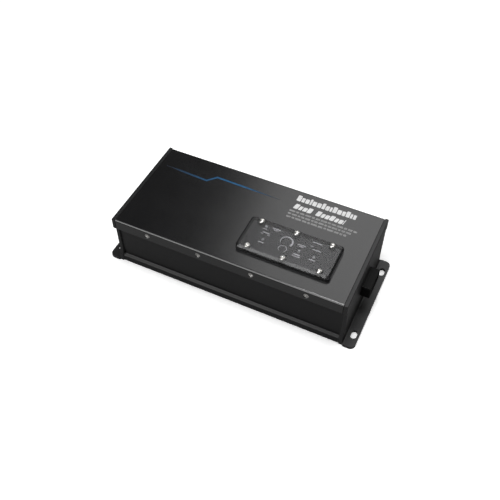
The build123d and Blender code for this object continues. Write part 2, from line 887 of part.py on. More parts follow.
board_screw_places = [Location((x, y, board_top_z)) for x, y in standoff_spots]
with BuildPart() as board_screws:
    add(pan_screws(board_screw_places, board_screw_length).part)

board_screws.part.label = "board_screws"
export_step(board_screws.part, "parts/board_screws.step")

# ------------------------------------------------------------------ transformer
winding_z = board_top_z + transformer_pad_thickness
with BuildPart() as transformer_winding:
    with Locations((transformer_x, 0, winding_z)):
        Cylinder(transformer_radius, transformer_height, align=from_bottom)
        Cylinder(transformer_bore, transformer_height, align=from_bottom, mode=Mode.SUBTRACT)
    fillet(transformer_winding.edges().filter_by(GeomType.CIRCLE), transformer_round)

transformer_winding.part.label = "transformer_winding"
export_step(transformer_winding.part, "parts/transformer_winding.step")

upper_pad_z = winding_z + transformer_height
with BuildPart() as transformer_pads:
    with Locations((transformer_x, 0, board_top_z), (transformer_x, 0, upper_pad_z)):
        Cylinder(washer_radius + 1, transformer_pad_thickness, align=from_bottom)
        Cylinder(bolt_radius + screw_gap, transformer_pad_thickness, align=from_bottom, mode=Mode.SUBTRACT)

transformer_pads.part.label = "transformer_pads"
export_step(transformer_pads.part, "parts/transformer_pads.step")

washer_z = upper_pad_z + transformer_pad_thickness
with BuildPart() as transformer_washer:
    with Locations((transformer_x, 0, washer_z)):
        Cylinder(washer_radius, washer_thickness, align=from_bottom)
        Cylinder(bolt_radius + screw_gap, washer_thickness, align=from_bottom, mode=Mode.SUBTRACT)

transformer_washer.part.label = "transformer_washer"
export_step(transformer_washer.part, "parts/transformer_washer.step")

bolt_seat_z = washer_z + washer_thickness
bolt_length = bolt_seat_z - board_under_z + nut_height
with BuildPart() as transformer_bolt:
    with Locations((transformer_x, 0, bolt_seat_z)):
        Cylinder(bolt_radius - thread_gap, bolt_length, align=from_top)
        Cylinder(bolt_head_radius, bolt_head_height, align=from_bottom)
    with Locations((transformer_x, 0, bolt_seat_z + bolt_head_height)):
        cross_recess(bolt_head_radius)

transformer_bolt.part.label = "transformer_bolt"
export_step(transformer_bolt.part, "parts/transformer_bolt.step")

with BuildPart() as transformer_nut:
    with BuildSketch(Plane.XY.offset(board_under_z)):
        with Locations((transformer_x, 0)):
            RegularPolygon(nut_radius, 6)
            Circle(bolt_radius, mode=Mode.SUBTRACT)
    extrude(amount=-nut_height)

transformer_nut.part.label = "transformer_nut"
export_step(transformer_nut.part, "parts/transformer_nut.step")

# ------------------------------------------------------------------ capacitors, chokes and chips
with BuildPart() as filter_capacitors:
    with Locations(*[(x, y, board_top_z) for x, y in capacitor_spots]):
        Cylinder(capacitor_radius, capacitor_height, align=from_bottom)
    fillet(filter_capacitors.edges().filter_by(GeomType.CIRCLE).group_by(Axis.Z)[-1], 1)

filter_capacitors.part.label = "filter_capacitors"
export_step(filter_capacitors.part, "parts/filter_capacitors.step")

with BuildPart() as output_chokes:
    with Locations(*[(choke_x, side * choke_spacing / 2, board_top_z) for side in (-1, 1)]):
        Cylinder(choke_radius, choke_height, align=from_bottom)
        Cylinder(choke_bore, choke_height, align=from_bottom, mode=Mode.SUBTRACT)
    fillet(output_chokes.edges().filter_by(GeomType.CIRCLE), 2)

output_chokes.part.label = "output_chokes"
export_step(output_chokes.part, "parts/output_chokes.step")

with BuildPart() as signal_chips:
    with Locations(*[(x, y, board_top_z) for x, y in chip_spots]):
        Box(chip_length, chip_width, chip_height, align=from_bottom)

signal_chips.part.label = "signal_chips"
export_step(signal_chips.part, "parts/signal_chips.step")

# ------------------------------------------------------------------ ribbon between the boards
ribbon_low_z = board_top_z + ribbon_socket_height
ribbon_high_z = control_board_under_z - ribbon_socket_height
ribbon_middle_z = (ribbon_low_z + ribbon_high_z) / 2
with BuildPart() as ribbon_cable:
    with BuildSketch(Plane.YZ.offset(control_x + ribbon_x - ribbon_width / 2)):
        with BuildLine() as ribbon_path:
            FilletPolyline(
                (control_y + ribbon_upper_y - ribbon_step, ribbon_low_z),
                (control_y + ribbon_upper_y - ribbon_step, ribbon_middle_z - ribbon_bend / 2),
                (control_y + ribbon_upper_y, ribbon_middle_z + ribbon_bend / 2),
                (control_y + ribbon_upper_y, ribbon_high_z),
                radius=ribbon_bend,
            )
        trace(line_width=ribbon_thickness)
    extrude(amount=ribbon_width)

ribbon_cable.part.label = "ribbon_cable"
export_step(ribbon_cable.part, "parts/ribbon_cable.step")

with BuildPart() as ribbon_sockets:
    with Locations((control_x + ribbon_x, control_y + ribbon_upper_y - ribbon_step, board_top_z)):
        Box(ribbon_width + 2, ribbon_socket_depth, ribbon_socket_height, align=from_bottom)
    with Locations((control_x + ribbon_x, control_y + ribbon_upper_y, control_board_under_z)):
        Box(ribbon_width + 2, ribbon_socket_depth, ribbon_socket_height, align=from_top)

ribbon_sockets.part.label = "ribbon_sockets"
export_step(ribbon_sockets.part, "parts/ribbon_sockets.step")

# ------------------------------------------------------------------ power stage
with BuildPart() as power_transistors:
    package_spots = [(x, side * package_middle_y) for x in package_xs for side in (-1, 1)]
    with Locations(*[(x, y, package_bottom_z) for x, y in package_spots]):
        Box(package_width, package_thickness, package_height, align=from_bottom)
    with Locations(*[(x, y, package_bottom_z) for x, y in lead_spots]):
        Box(lead_width, lead_thickness, package_lift + board_thickness + pin_tail, align=from_top)

power_transistors.part.label = "power_transistors"
export_step(power_transistors.part, "parts/power_transistors.step")

with BuildPart() as thermal_pads:
    pad_middle_y = (pad_inner_y + wall_inner_y) / 2
    with Locations(*[(0, side * pad_middle_y, package_bottom_z) for side in (-1, 1)]):
        Box(clamp_length, pad_thickness, package_height, align=from_bottom)
    with Locations(*clamp_hole_places):
        Cylinder(screw_radius + screw_gap, 2 * pad_thickness, mode=Mode.SUBTRACT)

thermal_pads.part.label = "thermal_pads"
export_step(thermal_pads.part, "parts/thermal_pads.step")

clamp_screw_places = [
    facing(x, side * clamp_inner_y, package_middle_z, (0, -side, 0))
    for side in (-1, 1)
    for x in clamp_screw_xs
]
with BuildPart() as transistor_clamps:
    clamp_middle_y = (clamp_inner_y + package_inner_y) / 2
    with Locations(*[(0, side * clamp_middle_y, package_middle_z) for side in (-1, 1)]):
        Box(clamp_length, clamp_thickness, clamp_height)
    with Locations(*clamp_screw_places):
        Hole(screw_radius + screw_gap, 2 * clamp_thickness)

transistor_clamps.part.label = "transistor_clamps"
export_step(transistor_clamps.part, "parts/transistor_clamps.step")

clamp_screw_length = wall_inner_y - clamp_inner_y + clamp_screw_bite
with BuildPart() as clamp_screws:
    add(pan_screws(clamp_screw_places, clamp_screw_length).part)

clamp_screws.part.label = "clamp_screws"
export_step(clamp_screws.part, "parts/clamp_screws.step")
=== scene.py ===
"""The looks of a sealed two-channel audio amplifier, laid out as a Blender add-on and run as a script."""

import math

import bmesh
import bpy
import numpy as np
from bpy.props import FloatProperty, FloatVectorProperty, IntProperty, PointerProperty
from mathutils import Matrix, Vector


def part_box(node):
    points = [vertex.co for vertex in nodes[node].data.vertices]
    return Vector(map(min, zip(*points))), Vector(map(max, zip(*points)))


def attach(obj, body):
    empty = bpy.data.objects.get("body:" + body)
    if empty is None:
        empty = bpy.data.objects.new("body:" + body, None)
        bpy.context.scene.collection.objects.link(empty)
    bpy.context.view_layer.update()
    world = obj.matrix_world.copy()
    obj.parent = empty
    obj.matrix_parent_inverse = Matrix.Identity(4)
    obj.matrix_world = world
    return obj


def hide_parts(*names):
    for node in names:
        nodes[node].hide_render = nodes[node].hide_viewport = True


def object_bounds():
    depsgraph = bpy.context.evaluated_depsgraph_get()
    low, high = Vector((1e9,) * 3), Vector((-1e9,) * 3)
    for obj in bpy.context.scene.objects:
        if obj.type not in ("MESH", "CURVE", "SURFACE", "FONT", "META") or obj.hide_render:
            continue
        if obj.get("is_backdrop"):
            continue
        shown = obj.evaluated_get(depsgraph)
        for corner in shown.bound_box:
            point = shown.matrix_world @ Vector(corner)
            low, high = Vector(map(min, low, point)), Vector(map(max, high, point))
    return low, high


bl_info = {
    "name": "Sealed amplifier finish",
    "version": (1, 0, 0),
    "blender": (4, 5, 0),
    "location": "3D View > Sidebar > Amplifier",
    "description": "Builds the printed panel, screws, finishes and studio of a sealed audio amplifier",
    "category": "Object",
}

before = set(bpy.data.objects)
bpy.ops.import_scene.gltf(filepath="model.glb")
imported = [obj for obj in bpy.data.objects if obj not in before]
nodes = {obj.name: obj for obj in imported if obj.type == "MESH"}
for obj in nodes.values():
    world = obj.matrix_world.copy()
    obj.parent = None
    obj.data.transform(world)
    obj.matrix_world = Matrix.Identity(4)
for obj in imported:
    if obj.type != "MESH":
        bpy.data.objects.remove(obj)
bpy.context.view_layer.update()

MM = 0.001
TOP_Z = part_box("top_cover")[1].z
COVER_LOW, COVER_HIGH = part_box("control_cover")

# Where the pinstripe turns, in millimetres; the third corner moves back by the stripe's step.
STRIPE_CORNERS = ((-109.0, 31.2), (-62.0, 29.0), (-54.0, 30.2), (15.5, 36.0))

# Rows of printed bars, in millimetres: from start to stop along the lid and from low to high across it,
# with the bars' widths in turn, the gap between them and how much shorter two bars in three are.
TITLE_ROW = dict(
    start=30.0, stop=91.0, low=42.2, high=50.0, widths=(4.2, 3.2, 3.8, 2.2, 4.0), gap=0.7, short=1.8
)
SECOND_ROW = dict(low=31.4, high=38.2, widths=(4.4, 3.2, 3.8), gap=0.8, short=1.4)
SECOND_ROW_SPANS = ((31.5, 50.0), (54.5, 83.0))
SECOND_ROW_LEAN = 0.2
SMALL_ROW_START = 29.0
SMALL_ROW_HEIGHT = 2.2
SMALL_ROW_GAP = 0.9
SMALL_ROWS = (
    (26.6, 98.0, (6.0, 3.2, 4.4)),
    (22.5, 94.0, (3.4, 5.2, 2.4)),
    (18.4, 90.0, (4.6, 2.8, 6.2)),
)

# The plain marks beside the controls, in millimetres: the middle along and across the lid, the width and
# the height.
CONTROL_MARKS = (
    (18.6, -6.6, 4.4, 0.9), (29.0, -2.4, 8.5, 1.0), (29.0, -4.2, 5.0, 0.8),
    (21.6, -10.8, 7.0, 1.0), (18.2, -12.8, 2.6, 0.8), (24.8, -12.8, 2.6, 0.8),
    (21.8, -23.2, 6.0, 1.0), (57.6, -10.8, 8.0, 1.0), (57.6, -12.6, 5.0, 0.8),
    (57.6, -23.0, 6.5, 1.2), (57.6, -25.2, 8.0, 0.9), (70.0, -2.4, 9.5, 1.0),
    (72.6, -10.8, 8.0, 1.0), (66.5, -7.6, 3.0, 0.8), (72.6, -23.0, 6.0, 1.2),
)
DIAL_LINE = 0.5 * MM
WEDGE_RADIUS = 5.2 * MM
WEDGE_TURN = (math.radians(215), math.radians(-35))
RING_RADIUS = 3.6 * MM
RING_TURN = (math.radians(230), math.radians(-50))

# The control cover's screws are placed from its middle, and the lid's side screws from the part's middle.
SHANK_RADIUS = 1.45 * MM
COVER_SCREW_X = (-35.4 * MM, 0.0, 35.4 * MM)
COVER_SCREW_Y = (-16.4 * MM, 16.4 * MM)
PAN_HEAD_RADIUS = 3.0 * MM
PAN_HEAD_SEAT = 0.8 * MM
LID_SCREW_X = (-81.15 * MM, -27.05 * MM, 27.05 * MM, 81.15 * MM)
SUNK_HEAD_RADIUS = 2.75 * MM
LID_SCREW_LENGTH = 8.0 * MM

EDGE_REACH = 0.6 * MM
METAL_EDGE_REACH = 0.2 * MM
FLOOR_HALF = 6.0
FLOOR_DROP = 0.2 * MM
FLOOR_FADE = (0.3, 0.9)


# ---------------------------------------------------------------- properties


class AmplifierPrintSizes(bpy.types.PropertyGroup):
    """Sizes of the printed lines and bars on the lid."""

    stripe_width: FloatProperty(
        name="Pinstripe width",
        description="Width of the blue line across the lid",
        default=2.1 * MM,
        min=0.2 * MM,
        max=6 * MM,
        subtype="DISTANCE",
        unit="LENGTH",
    )
    stripe_step: FloatProperty(
        name="Pinstripe step",
        description="How far the blue line steps back between its two runs",
        default=7.4 * MM,
        min=0,
        max=20 * MM,
        subtype="DISTANCE",
        unit="LENGTH",
    )
    print_thickness: FloatProperty(
        name="Print thickness",
        description="Height of the screen print above the lid",
        default=0.03 * MM,
        min=0.01 * MM,
        max=0.2 * MM,
        subtype="DISTANCE",
        unit="LENGTH",
    )
    wedge_width: FloatProperty(
        name="Level wedge width",
        description="Width of the level wedge at its loud end",
        default=2.0 * MM,
        min=0.5 * MM,
        max=3 * MM,
        subtype="DISTANCE",
        unit="LENGTH",
    )


class AmplifierScrewSizes(bpy.types.PropertyGroup):
    """Shape of the driver recess and the heads."""

    head_steps: IntProperty(
        name="Head steps",
        description="Rings of faces from the rim of a head to its middle",
        default=22,
        min=8,
        max=40,
    )
    round_steps: IntProperty(
        name="Round steps",
        description="Faces round a screw",
        default=64,
        min=24,
        max=96,
    )
    recess_depth: FloatProperty(
        name="Recess depth",
        description="Depth of the cross recess in the middle of a pan head",
        default=1.3 * MM,
        min=0.2 * MM,
        max=2 * MM,
        subtype="DISTANCE",
        unit="LENGTH",
    )
    recess_arm: FloatProperty(
        name="Recess arm",
        description="Half the width of one arm of the cross recess",
        default=0.42 * MM,
        min=0.1 * MM,
        max=1 * MM,
        subtype="DISTANCE",
        unit="LENGTH",
    )


class AmplifierColours(bpy.types.PropertyGroup):
    """Colours of the finishes."""

    case_black: FloatVectorProperty(
        name="Case black",
        description="Black of the anodised lid and body",
        default=(0.0034, 0.0034, 0.0038),
        subtype="COLOR",
        min=0,
        max=1,
    )
    cast_black: FloatVectorProperty(
        name="Cast black",
        description="Black of the painted end plates",
        default=(0.006, 0.006, 0.0065),
        subtype="COLOR",
        min=0,
        max=1,
    )
    stripe_blue: FloatVectorProperty(
        name="Pinstripe blue",
        description="Blue of the printed line",
        default=(0.004, 0.075, 0.18),
        subtype="COLOR",
        min=0,
        max=1,
    )
    print_white: FloatVectorProperty(
        name="Print white",
        description="White of the printed bars",
        default=(0.68, 0.68, 0.68),
        subtype="COLOR",
        min=0,
        max=1,
    )
    steel: FloatVectorProperty(
        name="Screw steel",
        description="Colour of the zinc-plated screws",
        default=(0.62, 0.61, 0.59),
        subtype="COLOR",
        min=0,
        max=1,
    )
    smoke: FloatVectorProperty(
        name="Cover smoke",
        description="Tint of the clear control cover",
        default=(0.42, 0.42, 0.43),
        subtype="COLOR",
        min=0,
        max=1,
    )


class AmplifierStudio(bpy.types.PropertyGroup):
    """Camera and lights."""

    lens: FloatProperty(
        name="Lens",
        description="Focal length of the camera",
        default=49.36,
        min=20,
        max=200,
        unit="CAMERA",
    )
    back_power: FloatProperty(
        name="Back softbox power",
        description="Power of the large softbox behind the part",
        default=5.4,
        min=0,
        max=500,
        unit="POWER",
    )
    front_power: FloatProperty(
        name="Front softbox power",
        description="Power of the softbox in front of the part",
        default=12.0,
        min=0,
        max=500,
        unit="POWER",
    )
    raised_power: FloatProperty(
        name="Raised softbox power",
        description="Power of the softbox above and in front of the part",
        default=3.6,
        min=0,
        max=500,
        unit="POWER",
    )
    overhead_power: FloatProperty(
        name="Overhead softbox power",
        description="Power of the small softbox above the part",
        default=15.0,
        min=0,
        max=500,
        unit="POWER",
    )
    room_grey: FloatProperty(
        name="Room brightness",
        description="Brightness of the dim room round the part",
        default=0.06,
        min=0,
        max=2,
    )
    floor_show: FloatProperty(
        name="Floor brightness",
        description="How strongly the floor shows to the camera",
        default=1.3,
        min=0.5,
        max=10,
    )
    floor_bounce: FloatProperty(
        name="Floor bounce",
        description="How much light the floor gives back to the part",
        default=0.24,
        min=0,
        max=1,
    )
    floor_glow: FloatProperty(
        name="Far floor glow",
        description="Brightness of the distant floor in the part's reflections",
        default=0.30,
        min=0,
        max=2,
    )


# ---------------------------------------------------------------- mesh helpers


def grid_faces(rows, columns, wrap):
    """Quads of a grid of points in row order: point (i, j) joins (i, j+1), (i+1, j+1) and (i+1, j)."""
    i, j = np.meshgrid(np.arange(rows - 1), np.arange(columns if wrap else columns - 1), indexing="ij")
    k = (j + 1) % columns
    corners = [i * columns + j, i * columns + k, (i + 1) * columns + k, (i + 1) * columns + j]
    return np.stack(corners, -1).reshape(-1, 4)


def mesh_object(name, points, faces, uv=None, smooth=True):
    """A mesh object at the origin from an array of points and an array of quads, with an optional UV per
    point."""
    mesh = bpy.data.meshes.new(name)
    loops = faces.ravel().astype(np.int32)
    mesh.vertices.add(len(points))
    mesh.vertices.foreach_set("co", np.asarray(points, np.float32).ravel())
    mesh.loops.add(len(loops))
    mesh.loops.foreach_set("vertex_index", loops)
    mesh.polygons.add(len(faces))
    mesh.polygons.foreach_set("loop_start", np.arange(0, len(loops), faces.shape[1], dtype=np.int32))
    mesh.polygons.foreach_set("use_smooth", np.full(len(faces), smooth, bool))
    if uv is not None:
        layer = mesh.uv_layers.new(name="Surface")
        layer.data.foreach_set("uv", np.asarray(uv, np.float32)[loops].ravel())
    mesh.update(calc_edges=True)
    mesh.validate()
    piece = bpy.data.objects.new(name, mesh)
    bpy.context.scene.collection.objects.link(piece)
    return piece


def tidy_mesh(piece, merge_distance=1e-7):
    """Merges the points that meet at poles and seams, and turns every face outwards."""
    work = bmesh.new()
    work.from_mesh(piece.data)
    bmesh.ops.remove_doubles(work, verts=work.verts, dist=merge_distance)
    bmesh.ops.dissolve_degenerate(work, edges=work.edges, dist=merge_distance)
    bmesh.ops.recalc_face_normals(work, faces=work.faces)
    work.to_mesh(piece.data)
    work.free()


def many(points, faces, places):
    """Copies one surface to several places. Each place is a 3 x 3 turn and a shift, and each point of its
    copy is the turn times the point, plus the shift."""
    turns = np.array([turn for turn, _ in places])
    shifts = np.array([shift for _, shift in places])
    copies = np.einsum("nij,pj->npi", turns, points) + shifts[:, None, :]
    offsets = np.arange(len(places))[:, None, None] * len(points)
    return copies.reshape(-1, 3), (faces[None] + offsets).reshape(-1, 4)


def ribbon(path, widths, thickness):
    """A flat printed line with a rounded section, carried along a path on the lid.

    At distance s along the path the section is a half ellipse: across = w(s)/2 cos(t), up = thickness
    sin(t), for t from 0 to half a turn, closed underneath by a straight run. Returns the points, the quads
    and a UV whose u is the share of the path's length and v the share across."""
    path = np.asarray(path, float)
    step = np.diff(path, axis=0)
    tangent = np.vstack([step[:1], step[1:] + step[:-1], step[-1:]])
    tangent /= np.linalg.norm(tangent, axis=1, keepdims=True)
    side = np.stack([-tangent[:, 1], tangent[:, 0]], 1)
    turn = np.linspace(0, math.pi, 9)
    across = np.cos(turn)[None, :] * np.asarray(widths)[:, None] / 2
    up = np.broadcast_to(np.sin(turn)[None, :] * thickness, across.shape)
    points = np.dstack([
        path[:, :1] + across * side[:, :1],
        path[:, 1:2] + across * side[:, 1:2],
        TOP_Z + up,
    ])
    length = np.concatenate([[0], np.cumsum(np.linalg.norm(step, axis=1))])
    u = np.broadcast_to((length / length[-1])[:, None], across.shape)
    v = np.broadcast_to((0.5 + np.cos(turn) / 2)[None, :], across.shape)
    faces = grid_faces(len(path), len(turn), wrap=True)
    return points.reshape(-1, 3), faces, np.dstack([u, v]).reshape(-1, 2)


def bars(boxes, thickness, lean=0.0):
    """Rounded printed bars. Each is a superellipse pillow: at angle t and share r of the way from its
    middle to its rim, x = a r sgn(cos t) |cos t|^corner, y is the same with b and sin t, and its height is
    thickness (1 - r^6). lean slides a bar forward by that share of y."""
    boxes = np.asarray(boxes, float)
    t = np.linspace(0, 2 * math.pi, 32, endpoint=False)
    r = np.array([0.0, 0.6, 0.9, 1.0])
    corner = 0.28
    unit_x = np.sign(np.cos(t)) * np.abs(np.cos(t)) ** corner
    unit_y = np.sign(np.sin(t)) * np.abs(np.sin(t)) ** corner
    height = thickness * (1 - r**6)
    half_x = (boxes[:, 1] - boxes[:, 0]) / 2
    half_y = (boxes[:, 3] - boxes[:, 2]) / 2
    y = half_y[:, None, None] * r[None, :, None] * unit_y[None, None, :]
    x = half_x[:, None, None] * r[None, :, None] * unit_x[None, None, :] + lean * y
    x = x + ((boxes[:, 0] + boxes[:, 1]) / 2)[:, None, None]
    y = y + ((boxes[:, 2] + boxes[:, 3]) / 2)[:, None, None]
    z = np.broadcast_to((TOP_Z + height)[None, :, None], x.shape)
    points = np.stack([x, y, z], -1).reshape(-1, 3)
    faces = grid_faces(len(r), len(t), wrap=True)
    offsets = np.arange(len(boxes))[:, None, None] * (len(r) * len(t))
    return points, (faces[None] + offsets).reshape(-1, 4)


def ring_band(centre, radius, width, start, stop, thickness, steps=72):
    """A printed arc: points at centre + rho (cos a, sin a) where a runs from start to stop and the width
    grows evenly from width[0] to width[1] outwards from the radius, with a half-ellipse section."""
    angle = np.linspace(start, stop, steps)
    widths = np.linspace(width[0], width[1], steps)
    middle = radius + widths / 2
    path = np.stack([centre[0] + middle * np.cos(angle), centre[1] + middle * np.sin(angle)], 1)
    return ribbon(path, widths, thickness)[:2]


def joined(parts):
    """Several point and quad arrays as one pair."""
    points, faces, start = [], [], 0
    for some_points, some_faces in parts:
        points.append(some_points)
        faces.append(some_faces + start)
        start += len(some_points)
    return np.concatenate(points), np.concatenate(faces)


def screw_surface(profile, head_start, recess_depth, recess_arm, recess_reach, rounds):
    """A turned screw whose head carries a cross recess.

    profile is a line of (radius, height) from the tip to the middle of the head, turned round the axis.
    From head_start on, each point is lowered by recess_depth times a smooth cross. The cross is 1 at the
    head's middle and gets shallower along each arm up to recess_reach. An arm is about recess_arm either
    side of its middle line, narrower towards its end, and its walls fall over a third of that."""
    profile = np.asarray(profile, float)
    angle = np.linspace(0, 2 * math.pi, rounds, endpoint=False)
    radius = profile[:, 0][:, None]
    x = radius * np.cos(angle)[None, :]
    y = radius * np.sin(angle)[None, :]
    z = np.repeat(profile[:, 1][:, None], rounds, axis=1)
    edge = recess_arm / 3

    def arm(along, across):
        narrow = recess_arm * (1.35 - 0.5 * np.abs(along) / recess_reach)
        inside = np.clip((narrow - np.abs(across)) / edge + 0.5, 0, 1)
        within = np.clip((recess_reach - np.abs(along)) / edge, 0, 1)
        fall = 1 - 0.55 * np.clip(np.abs(along) / recess_reach, 0, 1)
        return inside * within * fall

    cross = np.maximum(arm(x, y), arm(y, x))
    on_head = (np.arange(len(profile)) >= head_start)[:, None]
    z = z - np.where(on_head, recess_depth * cross, 0)
    points = np.stack([x, y, z], -1).reshape(-1, 3)
    return points, grid_faces(len(profile), rounds, wrap=True)


def turn_to(direction):
    """The 3 x 3 turn that carries +Z to a direction."""
    return np.array(Vector(direction).to_track_quat("Z", "Y").to_matrix())


# ---------------------------------------------------------------- shader helpers


class Tree:
    """A short way to place and join nodes in a node tree."""

    def __init__(self, tree):
        self.tree = tree

    def node(self, kind, **settings):
        made = self.tree.nodes.new(kind)
        for key, value in settings.items():
            setattr(made, key, value)
        return made

    def feed(self, socket, value):
        if isinstance(value, bpy.types.NodeSocket):
            self.tree.links.new(value, socket)
        else:
            socket.default_value = value

    def noise(self, vector, scale, detail=3.0, roughness=0.55):
        made = self.node("ShaderNodeTexNoise")
        self.feed(made.inputs["Vector"], vector)
        self.feed(made.inputs["Scale"], scale)
        self.feed(made.inputs["Detail"], detail)
        self.feed(made.inputs["Roughness"], roughness)
        return made.outputs["Fac"]

    def maths(self, operation, first, second=0.0, clamp=False):
        made = self.node("ShaderNodeMath", operation=operation, use_clamp=clamp)
        self.feed(made.inputs[0], first)
        self.feed(made.inputs[1], second)
        return made.outputs[0]

    def span(self, value, from_low, from_high, to_low, to_high):
        made = self.node("ShaderNodeMapRange", clamp=True)
        for socket, item in zip(made.inputs[:5], (value, from_low, from_high, to_low, to_high)):
            self.feed(socket, item)
        return made.outputs["Result"]

    def mix(self, share, first, second):
        made = self.node("ShaderNodeMix", data_type="RGBA")
        self.feed(made.inputs["Factor"], share)
        self.feed(made.inputs["A"], first)
        self.feed(made.inputs["B"], second)
        return made.outputs["Result"]

    def group(self, tree, **values):
        made = self.node("ShaderNodeGroup")
        made.node_tree = tree
        for key, value in values.items():
            self.feed(made.inputs[key.replace("_", " ")], value)
        return made

    def bump(self, height, strength, distance):
        made = self.node("ShaderNodeBump")
        self.feed(made.inputs["Height"], height)
        made.inputs["Strength"].default_value = strength
        made.inputs["Distance"].default_value = distance
        return made.outputs["Normal"]


def new_group(name, inputs, outputs):
    """A shader node group with named sockets, and its tree with the input and output nodes."""
    tree = bpy.data.node_groups.new(name, "ShaderNodeTree")
    for label, kind, default in inputs:
        socket = tree.interface.new_socket(name=label, in_out="INPUT", socket_type=kind)
        if default is not None:
            socket.default_value = default
    for label, kind in outputs:
        tree.interface.new_socket(name=label, in_out="OUTPUT", socket_type=kind)
    helper = Tree(tree)
    return tree, helper, helper.node("NodeGroupInput"), helper.node("NodeGroupOutput")


def edge_wear_and_highlight_group():
    """Wear and painted highlight on edges: 1 where a rounded normal turns away from the face's own normal,
    broken up by noise. The finishes lighten their edges by it, which stands partly for worn edges and partly
    for a painted highlight where edges catch the light.
    """
    tree, t, given, out = new_group(
        "Edge rubbing and highlight",
        [
            ("Vector", "NodeSocketVector", None),
            ("Reach", "NodeSocketFloat", EDGE_REACH),
            ("Patchiness", "NodeSocketFloat", 900.0),
        ],
        [("Rubbing and highlight", "NodeSocketFloat")],
    )
    rounded = t.node("ShaderNodeBevel", samples=4)
    t.feed(rounded.inputs["Radius"], given.outputs["Reach"])
    plain = t.node("ShaderNodeNewGeometry")
    dot = t.node("ShaderNodeVectorMath", operation="DOT_PRODUCT")
    t.feed(dot.inputs[0], rounded.outputs["Normal"])
    t.feed(dot.inputs[1], plain.outputs["Normal"])
    turned = t.span(dot.outputs["Value"], 0.995, 0.86, 0.0, 1.0)
    patches = t.noise(given.outputs["Vector"], given.outputs["Patchiness"], 4.0, 0.6)
    broken = t.span(patches, 0.38, 0.62, 0.25, 1.0)
    t.feed(out.inputs["Rubbing and highlight"], t.maths("MULTIPLY", turned, broken, clamp=True))
    return tree


def grain_group():
    """Grain of a coating: a fine noise for bump, a broad one that drifts the colour and the gloss, and
    sparse specks of dust."""
    tree, t, given, out = new_group(
        "Coating grain",
        [
            ("Vector", "NodeSocketVector", None),
            ("Fine scale", "NodeSocketFloat", 2600.0),
            ("Broad scale", "NodeSocketFloat", 26.0),
        ],
        [("Grain", "NodeSocketFloat"), ("Drift", "NodeSocketFloat"), ("Specks", "NodeSocketFloat")],
    )
    fine = t.noise(given.outputs["Vector"], given.outputs["Fine scale"], 3.0, 0.6)
    broad = t.noise(given.outputs["Vector"], given.outputs["Broad scale"], 4.0, 0.55)
    dust = t.noise(given.outputs["Vector"], t.maths("MULTIPLY", given.outputs["Fine scale"], 0.3), 2.0, 0.5)
    t.feed(out.inputs["Grain"], fine)
    t.feed(out.inputs["Drift"], broad)
    t.feed(out.inputs["Specks"], t.span(dust, 0.66, 0.74, 0.0, 1.0))
    return tree


GROUPS = {}


def shared(name):
    """The shared node group of that name, built the first time it is asked for."""
    makers = {"wear_and_highlight": edge_wear_and_highlight_group, "grain": grain_group}
    if name not in GROUPS:
        GROUPS[name] = makers[name]()
    return GROUPS[name]


def material(name, metallic=0.0, ior=1.5, specular=0.5):
    """A new material with its shader's plain values set, its tree helper, its shader and its Object
    coordinates."""
    made = bpy.data.materials.new(name)
    made.use_nodes = True
    t = Tree(made.node_tree)
    shader = made.node_tree.nodes["Principled BSDF"]
    shader.inputs["Metallic"].default_value = metallic
    shader.inputs["IOR"].default_value = ior
    shader.inputs["Specular IOR Level"].default_value = specular
    place = t.node("ShaderNodeTexCoord").outputs["Object"]
    return made, t, shader, place


def grey(tone):
    """A neutral colour of one tone."""
    return (tone, tone, tone)


def shade(colour, factor):
    """A colour made lighter or darker, as four numbers."""
    return tuple(min(1.0, c * factor) for c in colour[:3]) + (1.0,)


def coated(name, colour, roughness, worn_and_lit_colour, share, grain=0.12, ior=1.5, fine=2600.0, specular=0.5, drift=0.35):
    """A painted, moulded or anodised finish: drifting colour, fine grain in bump and gloss, specks of dust,
    and edges that show up to a share of a lighter edge colour, which stands partly for wear and partly for a
    painted highlight where edges catch the light."""
    made, t, shader, place = material(name, ior=ior, specular=specular)
    coat = t.group(shared("grain"), Vector=place, Fine_scale=fine)
    wear_and_highlight = t.group(shared("wear_and_highlight"), Vector=place, Reach=EDGE_REACH)
    base = t.mix(coat.outputs["Drift"], shade(colour, 1 - drift), shade(colour, 1 + drift))
    base = t.mix(t.maths("MULTIPLY", coat.outputs["Specks"], 0.10), base, shade(colour, 9.0))
    # Edges take the lighter colour: partly wear, partly a painted highlight.
    base = t.mix(t.maths("MULTIPLY", wear_and_highlight.outputs["Rubbing and highlight"], share), base, shade(worn_and_lit_colour, 1.0))
    t.feed(shader.inputs["Base Color"], base)
    gloss = t.span(coat.outputs["Drift"], 0.3, 0.7, roughness * 0.92, roughness * 1.08)
    gloss = t.maths("ADD", gloss, t.span(coat.outputs["Grain"], 0.3, 0.7, -0.03, 0.03), clamp=True)
    t.feed(shader.inputs["Roughness"], gloss)
    t.feed(shader.inputs["Normal"], t.bump(coat.outputs["Grain"], grain, 0.05 * MM))
    return made


def metal(name, colour, roughness):
    """Plated or bare metal: tone and gloss vary with fine stains, and edges are painted a little lighter, a
    painted highlight where they catch the light.
    """
    made, t, shader, place = material(name, metallic=1.0)
    coat = t.group(shared("grain"), Vector=place, Fine_scale=3800.0, Broad_scale=420.0)
    wear_and_highlight = t.group(shared("wear_and_highlight"), Vector=place, Reach=METAL_EDGE_REACH)
    base = t.mix(coat.outputs["Drift"], shade(colour, 0.72), shade(colour, 1.12))
    # Painted highlight: edges a little lighter than the rest.
    base = t.mix(t.maths("MULTIPLY", wear_and_highlight.outputs["Rubbing and highlight"], 0.5), base, shade(colour, 1.35))
    t.feed(shader.inputs["Base Color"], base)
    gloss = t.span(coat.outputs["Grain"], 0.3, 0.7, roughness * 0.8, roughness * 1.25)
    t.feed(shader.inputs["Roughness"], gloss)
    t.feed(shader.inputs["Normal"], t.bump(coat.outputs["Grain"], 0.1, 0.03 * MM))
    return made


